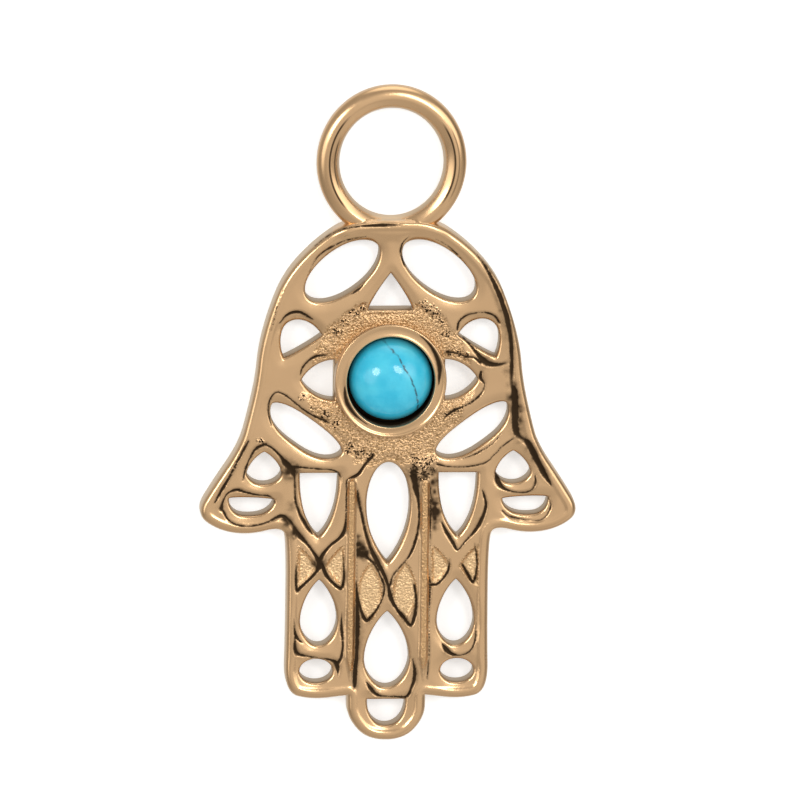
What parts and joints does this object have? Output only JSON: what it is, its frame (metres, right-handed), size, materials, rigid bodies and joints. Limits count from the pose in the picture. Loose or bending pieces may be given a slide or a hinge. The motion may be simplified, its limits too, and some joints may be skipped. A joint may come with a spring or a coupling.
{
  "type": "hamsa pendant",
  "caption": "Pierced hand-shaped pendant with a raised border, a round cabochon in its palm and a bail ring for a chain.",
  "frame": {"origin": "under the middle of the whole pendant, on the plane of the hand's flat back", "axes": "+Y from the fingertips to the bail ring, +Z out of the face with the stone, +X to the right of the face"},
  "size_m": [0.018, 0.0316, 0.0026],
  "materials": {
    "gold_metal": "polished, with dark patina in the recesses",
    "turquoise": "polished opaque stone"
  },
  "bodies": {
    "root": {"hamsa_casting": "gold_metal", "turquoise_stone": "turquoise"}
  },
  "joints": []
}
